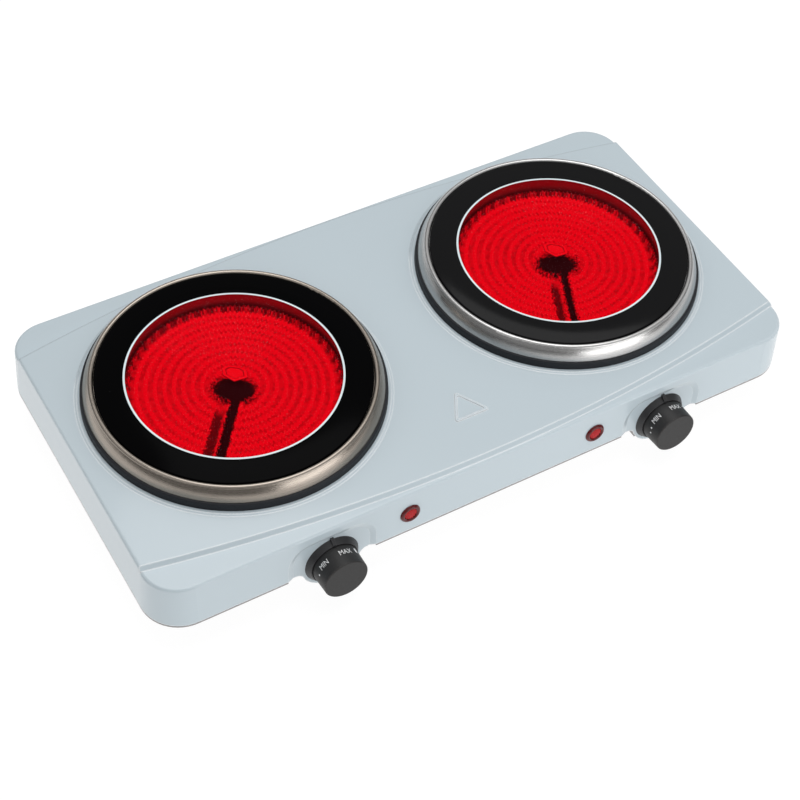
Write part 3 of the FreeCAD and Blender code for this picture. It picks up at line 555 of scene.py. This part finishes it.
# %% Glass materials
def glass_print(name, colour, rough, specular, dust_light=0.08):
    """Print fired onto glass, with faint specks of dust in its gloss."""
    material, tree, shader = new_material(name)
    shader.inputs["Specular IOR Level"].default_value = specular
    fine = use_group(tree, grain, Scale=700.0, Depth=0.01, Low=rough, High=rough + 0.05)
    wire(tree, fine.outputs["Roughness"], shader.inputs["Roughness"])
    wire(tree, fine.outputs["Normal"], shader.inputs["Normal"])
    dust = ramp(tree, fine.outputs["Mask"], 0.78, 0.82)
    speck = tuple(min(1.0, c + dust_light) for c in colour) + (1.0,)
    wire(tree, blend_colours(tree, dust, tuple(colour) + (1.0,), speck), shader.inputs["Base Color"])
    return material


def clear_zone():
    """Clear heating zone: a thin dark tint that the glow shows through."""
    material = glass_print("glass_zone", (0.05, 0.002, 0.003), 0.05, 0.3, dust_light=0.0)
    material.node_tree.nodes["Principled BSDF"].inputs["Alpha"].default_value = 0.03
    return material


zone_glass = clear_zone()
silver_line = glass_print("glass_silver_line", (0.82, 0.93, 0.96), 0.3, 0.4)
# The two discs carry the same black print; the right one's paler colour is painted reflection.
black_print = {"left": glass_print("left_glass_black", (0.0012, 0.0012, 0.0014), 0.12, 0.02),
               "right": glass_print("right_glass_black", (0.0045, 0.0045, 0.005), 0.12, 0.1)}

# %% Glass discs
zone_radius = 69.3
line_radius = 70.6


def glass(side):
    """Turned disc with its print on top and a clear underside."""
    edge_r = glass_radius / mm
    low, high, ease = glass_low / mm, glass_high / mm, 0.6
    profile = [(0, high), (zone_radius, high), (line_radius, high), (edge_r - ease, high),
               (edge_r - ease * 0.3, high - ease * 0.3), (edge_r, high - ease), (edge_r, low + ease),
               (edge_r - ease, low), (0, low)]
    kinds = [0, 1, 2, 2, 2, 2, 2, 0]
    bands = [zone_glass, silver_line, black_print[side]]
    piece = lathe(side + "_printed_glass", profile, burner_place(side), bands, steps=200, kinds=kinds)
    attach(piece, "appliance")
    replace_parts(piece, side + "_glass_disc")
    return piece


for side in sides:
    disc = glass(side)
    print(disc.name, len(disc.data.polygons), "faces")

# %% [markdown]
# ## Corrugated heating ribbon
# The heater is a thin ribbon on edge, pressed into waves so that it can expand. It runs in open
# circles that are joined by hairpins beside a bare channel, and its inner end comes back along
# the channel. A path function gives the centre line, and a sine wave across it makes the waves.

# %% Ribbon
ribbon_pitch = 6.0
ribbon_inner = 15.0
ribbon_circles = 10
ribbon_height = 4.0
wave_length = 3.0
wave_depth = 1.15
points_per_wave = 8
ribbon_half_thickness = 0.12
channel_half = 7.0


def ribbon_path():
    """Centre line as evenly spaced (x, y) in mm, channel towards -Y, outer end first."""
    corners = []
    for circle in reversed(range(ribbon_circles)):
        radius = ribbon_inner + ribbon_pitch * circle
        start = math.asin(channel_half / radius)
        way = 1 if (ribbon_circles - circle) % 2 else -1
        steps = int(radius * 6)
        for i in range(steps + 1):
            angle = start + (2 * math.pi - 2 * start) * i / steps
            corners.append((-way * radius * math.sin(angle), -radius * math.cos(angle)))
    corners.append((0.0, -ribbon_inner + 2.0))
    corners.append((0.0, -ribbon_inner - ribbon_pitch * (ribbon_circles - 1) + 2.0))
    path, left = [], 0.0
    step = wave_length / points_per_wave
    for (x0, y0), (x1, y1) in zip(corners, corners[1:]):
        length = math.hypot(x1 - x0, y1 - y0)
        if length < 1e-9:
            continue
        run = left
        while run < length:
            share = run / length
            path.append((x0 + (x1 - x0) * share, y0 + (y1 - y0) * share))
            run += step
        left = run - length
    return path


def ribbon(side):
    """One waved strip, standing on the board."""
    path = ribbon_path()
    place = burner_place(side, bed_height) @ Matrix.Rotation(-channel_turn[side], 4, "Z")
    points, faces = [], []
    half = ribbon_half_thickness
    for i, (x, y) in enumerate(path):
        x0, y0 = path[max(i - 1, 0)]
        x1, y1 = path[min(i + 1, len(path) - 1)]
        length = math.hypot(x1 - x0, y1 - y0)
        nx, ny = -(y1 - y0) / length, (x1 - x0) / length
        wave = wave_depth * math.sin(2 * math.pi * i / points_per_wave)
        for offset, height in ((wave - half, 0.02), (wave - half, ribbon_height),
                               (wave + half, ribbon_height), (wave + half, 0.02)):
            points.append(place @ (Vector((x + nx * offset, y + ny * offset, height)) * mm))
        if i:
            a, b = 4 * (i - 1), 4 * i
            for k in range(4):
                m = (k + 1) % 4
                faces.append((a + k, b + k, b + m, a + m))
    last = 4 * (len(path) - 1)
    faces.append((0, 1, 2, 3))
    faces.append((last + 3, last + 2, last + 1, last))
    piece = new_piece(side + "_waved_ribbon", points, faces, [ribbon_hot[side]])
    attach(piece, "appliance")
    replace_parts(piece, side + "_heating_ribbon")
    return piece


for side in sides:
    strip = ribbon(side)
    print(strip.name, len(strip.data.vertices), "points")

# %% [markdown]
# ## Centre plate
# A small domed plate pins the middle of the ribbon. It sits just behind the dark centre and is as
# bright as the ribbon, so it reads as a patch with soft corners that closes the dark field.


# %% Centre plate
def centre_plate(side):
    """Domed plate with a raised lip, on the design's anchor."""
    outline = [(-9.0, 4.5), (-7.6, -1.6), (0.0, -6.6), (8.6, -2.6), (7.4, 3.6), (3.0, 6.4), (-5.5, 7.2)]
    place = burner_place(side, bed_height) @ Matrix.Translation(Vector((3.4, 6.8, 0)) * mm)
    place = place @ Matrix.Rotation(math.radians(-31), 4, "Z")
    points, faces = [], []
    levels = ((1.0, 4.6), (0.97, 5.0), (0.72, 5.5), (0.66, 5.35), (0.25, 5.5))
    for share, height in levels:
        for x, y in outline:
            points.append(place @ (Vector((x * share, y * share, height)) * mm))
    count = len(outline)
    for level in range(len(levels) - 1):
        for i in range(count):
            j = (i + 1) % count
            a, b = level * count, (level + 1) * count
            faces.append((a + i, a + j, b + j, b + i))
    faces.append(tuple(range((len(levels) - 1) * count, len(levels) * count)))
    faces.append(tuple(reversed(range(count))))
    shaded = [0 if level in (1, 3) else 1 for level in range(len(levels) - 1) for _ in range(count)]
    shaded += [0, 1]
    piece = new_piece(side + "_centre_plate", points, faces, [plate_hot, plate_shade], shaded, smooth=False)
    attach(piece, "appliance")
    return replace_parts(piece, side + "_coil_anchor")


for side in sides:
    centre_plate(side)

# %% [markdown]
# ## Knob marks
# The knobs are printed with MIN, MAX and small dots on their side. Flat text would float off a
# round surface, so each word is made flat and every point is then wrapped round the knob's axis.

# %% Control places
joints = {joint["name"]: joint for joint in frame["joints"]}
knob_side_radius = 15.35
knob_flare = 0.25
knob_taper = 0.5
knob_depth = 17.0
print_lift = 0.05
word_size, word_width, word_height = 5.2, 0.8, 8.2


def control_place(side):
    """Local frame of one control: X along the wall, Y up it, Z out of it."""
    joint = joints[side + "_knob_turn"]
    out = Vector(joint["axis"]).normalized()
    along = Vector((1, 0, 0))
    up = out.cross(along)
    turn = Matrix((along, up, out)).transposed().to_4x4()
    return Matrix.Translation(Vector(joint["pos_m"])) @ turn


def print_white():
    """Hard white pad-print ink."""
    return finish("print_white", (0.8, 0.8, 0.8), rough=(0.4, 0.5), tone=0.03, wear_and_highlight=0.0)


ink = print_white()


def wrapped(name, side, points, faces, angle, height):
    """Wrap flat points (x along the rim, y towards the wall), in mm, round the knob's side."""
    place = control_place(side)
    made = []
    for x, y, lift in points:
        turn = angle + x / knob_side_radius
        out = height - y
        radius = knob_side_radius + knob_flare - (out - 0.5) / knob_depth * knob_taper + print_lift + lift
        made.append(place @ (Vector((radius * math.sin(turn), radius * math.cos(turn), out)) * mm))
    piece = new_piece(name, made, faces, [ink], smooth=False)
    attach(piece, side + "_control")
    return piece


def word(side, text, degrees):
    """One printed word at an angle from the top of the knob, clockwise seen from the front."""
    curve = bpy.data.curves.new(text, "FONT")
    curve.body = text
    curve.size = word_size
    curve.align_x = "CENTER"
    curve.align_y = "CENTER"
    curve.extrude = 0.02
    flat = bpy.data.objects.new(text, curve)
    bpy.context.scene.collection.objects.link(flat)
    bpy.context.view_layer.update()
    mesh = bpy.data.meshes.new_from_object(flat)
    points = [(v.co.x * word_width, v.co.y, v.co.z) for v in mesh.vertices]
    faces = [tuple(f.vertices) for f in mesh.polygons]
    bpy.data.objects.remove(flat)
    bpy.data.meshes.remove(mesh)
    return wrapped(side + "_knob_" + text.lower(), side, points, faces, math.radians(degrees), word_height)


def mark(side, name, degrees, wide, tall, height):
    """Small oval or bar printed on the knob's side."""
    count = 20
    turns = [2 * math.pi * i / count for i in range(count)]
    points = [(wide / 2 * math.cos(turn), tall / 2 * math.sin(turn), lift)
              for lift in (-0.02, 0.02) for turn in turns]
    faces = [tuple(range(count, 2 * count)), tuple(reversed(range(count)))]
    faces += [(i, (i + 1) % count, count + (i + 1) % count, count + i) for i in range(count)]
    return wrapped(side + "_knob_" + name, side, points, faces, math.radians(degrees), height)


for side in sides:
    word(side, "MIN", -44)
    word(side, "MAX", 16)
mark("left", "off_dot", -72, 1.2, 1.4, 9.6)
mark("left", "full_bar", 50, 2.0, 4.2, 7.2)
mark("right", "off_dot", -71, 1.2, 1.4, 9.2)
mark("right", "low_dot", -84, 1.0, 1.2, 10.0)
mark("right", "full_dot", 44, 0.9, 1.0, 7.4)

# %% [markdown]
# ## Lamp lenses
# Each lamp is a clear red cap. Its rim is thick and dark, and the middle is a field of tiny
# pyramids that scatter the light, so it looks paler and sparkles.


# %% Lenses
def lens_material(name, colour, glow, rough):
    """Red polycarbonate with a little light in it."""
    material = finish(name, colour, rough=(rough, rough + 0.05), depth=0.02, tone=0.1, wear_and_highlight=0.15,
                      wear_and_highlight_colour=(0.6, 0.12, 0.12), coat=0.1, specular=0.35)
    shader = material.node_tree.nodes["Principled BSDF"]
    shader.inputs["Emission Color"].default_value = glow + (1.0,)
    shader.inputs["Emission Strength"].default_value = 1.0
    return material


lens_rim = lens_material("lens_rim", (0.085, 0.002, 0.003), (0.015, 0.0, 0.0), 0.15)
lens_core = lens_material("lens_core", (0.42, 0.012, 0.016), (0.10, 0.002, 0.003), 0.12)


def lens(side):
    """Turned rim with a faceted centre."""
    centre = middle(side + "_lamp_lens")
    joint = joints[side + "_knob_turn"]
    out = Vector(joint["axis"]).normalized()
    knob_centre = Vector(joint["pos_m"])
    wall_y = knob_centre.y - (centre.z - knob_centre.z) * out.z / out.y
    across = Vector((1, 0, 0))
    turn = Matrix((across, out.cross(across), out)).transposed().to_4x4()
    place = Matrix.Translation(Vector((centre.x, wall_y, centre.z))) @ turn
    rim = [(4.4, 0.9), (4.8, 1.5), (5.4, 1.75), (6.1, 1.6), (6.7, 1.1), (7.05, 0.5), (7.1, 0.02), (5.0, 0.02),
           (5.0, -6.0), (4.1, -6.0), (4.1, 0.3)]
    piece = lathe(side + "_lens_rim", rim + rim[:1], place, [lens_rim], steps=64)
    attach(piece, "appliance")
    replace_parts(piece, side + "_lamp_lens")
    points, faces = [], []
    cells, reach_out, facet_limit = 7, 4.5, 4.3
    size = 2 * reach_out / cells
    for row in range(cells):
        for column in range(cells):
            x = (column + 0.5) * size - reach_out
            y = (row + 0.5) * size - reach_out
            if math.hypot(x, y) > facet_limit:
                continue
            dome = 1.7 - 0.045 * (x * x + y * y)
            start = len(points)
            for dx, dy, dz in ((-0.5, -0.5, -0.35), (0.5, -0.5, -0.35), (0.5, 0.5, -0.35), (-0.5, 0.5, -0.35),
                               (0, 0, 0.15)):
                points.append(place @ (Vector((x + dx * size, y + dy * size, dome + dz)) * mm))
            for dx, dy in ((-0.5, -0.5), (0.5, -0.5), (0.5, 0.5), (-0.5, 0.5)):
                points.append(place @ (Vector((x + dx * size, y + dy * size, 0.3)) * mm))
            faces += [(start, start + 1, start + 4), (start + 1, start + 2, start + 4),
                      (start + 2, start + 3, start + 4), (start + 3, start, start + 4)]
            base = start + 5
            faces += [(start + k, base + k, base + (k + 1) % 4, start + (k + 1) % 4) for k in range(4)]
            faces.append((base + 3, base + 2, base + 1, base))
    core = new_piece(side + "_lens_facets", points, faces, [lens_core], smooth=False)
    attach(core, "appliance")
    return piece


for side in sides:
    lens(side)

# %% [markdown]
# ## Floor, light and camera
# The floor glows almost white, so it shows no shadow. The dome is dark at the horizon and bright
# overhead, which keeps the walls darker than the top. A large soft box above is the main light,
# and a weak low one in front lifts the front wall and the knobs.

# %% Stage
floor_mesh = bpy.data.meshes.new("floor")
reach = 6.0
drop = -0.0002
floor_mesh.from_pydata([(-reach, -reach, drop), (reach, -reach, drop), (reach, reach, drop),
                        (-reach, reach, drop)], [], [(0, 1, 2, 3)])
floor = bpy.data.objects.new("floor", floor_mesh)
bpy.context.scene.collection.objects.link(floor)
floor_material = bpy.data.materials.new("floor_white")
floor_material.use_nodes = True
floor_shader = floor_material.node_tree.nodes["Principled BSDF"]
floor_shader.inputs["Base Color"].default_value = (0.12, 0.12, 0.12, 1)
floor_shader.inputs["Roughness"].default_value = 0.9
floor_shader.inputs["Emission Color"].default_value = (1, 1, 1, 1)
floor_shader.inputs["Emission Strength"].default_value = 0.93
floor_mesh.materials.append(floor_material)

world = bpy.data.worlds.new("studio")
bpy.context.scene.world = world
world.use_nodes = True
sky = world.node_tree
sky_where = put(sky, "ShaderNodeTexCoord")
sky_parts = put(sky, "ShaderNodeSeparateXYZ")
wire(sky, sky_where.outputs["Generated"], sky_parts.inputs["Vector"])
sky_rise = ramp(sky, sky_parts.outputs["Z"], 0.0, 0.8)
wire(sky, blend_colours(sky, sky_rise, (0.06, 0.06, 0.06, 1), (0.64, 0.64, 0.64, 1)),
     sky.nodes["Background"].inputs["Color"])
sky.nodes["Background"].inputs["Strength"].default_value = 1.0


def soft_box(name, place, target, wide, tall, power):
    """Rectangular area light aimed at a point."""
    light = bpy.data.lights.new(name, "AREA")
    light.shape = "RECTANGLE"
    light.size = wide
    light.size_y = tall
    light.energy = power
    lamp = bpy.data.objects.new(name, light)
    lamp.location = place
    lamp.rotation_mode = "QUATERNION"
    lamp.rotation_quaternion = (Vector(target) - Vector(place)).to_track_quat("-Z", "Y")
    bpy.context.scene.collection.objects.link(lamp)
    return lamp


soft_box("key", (0.35, 0.35, 2.2), (0, 0, 0.05), 1.6, 1.6, 19)
soft_box("front", (0.28, -0.95, 0.2), (0.05, -0.12, 0.05), 0.8, 0.25, 2.0)
bpy.context.scene.view_settings.view_transform = "Standard"

# %% Camera
yaw, pitch, roll = (math.radians(v) for v in (33.5694, 49.3170, 4.5517))
forward = Vector((math.sin(yaw) * math.cos(pitch), math.cos(yaw) * math.cos(pitch), -math.sin(pitch)))
level = Vector((math.cos(yaw), -math.sin(yaw), 0))
upward = level.cross(forward)
camera_x = level * math.cos(roll) + upward * math.sin(roll)
camera_y = upward * math.cos(roll) - level * math.sin(roll)
camera_data = bpy.data.cameras.new("camera")
camera_data.lens = 77.248
camera_data.sensor_width = 36.0
camera = bpy.data.objects.new("camera", camera_data)
camera.matrix_world = Matrix.Translation(Vector((-0.4332, -0.6464, 0.9004))) @ Matrix(
    (camera_x, camera_y, -forward)).transposed().to_4x4()
bpy.context.scene.collection.objects.link(camera)
bpy.context.scene.camera = camera
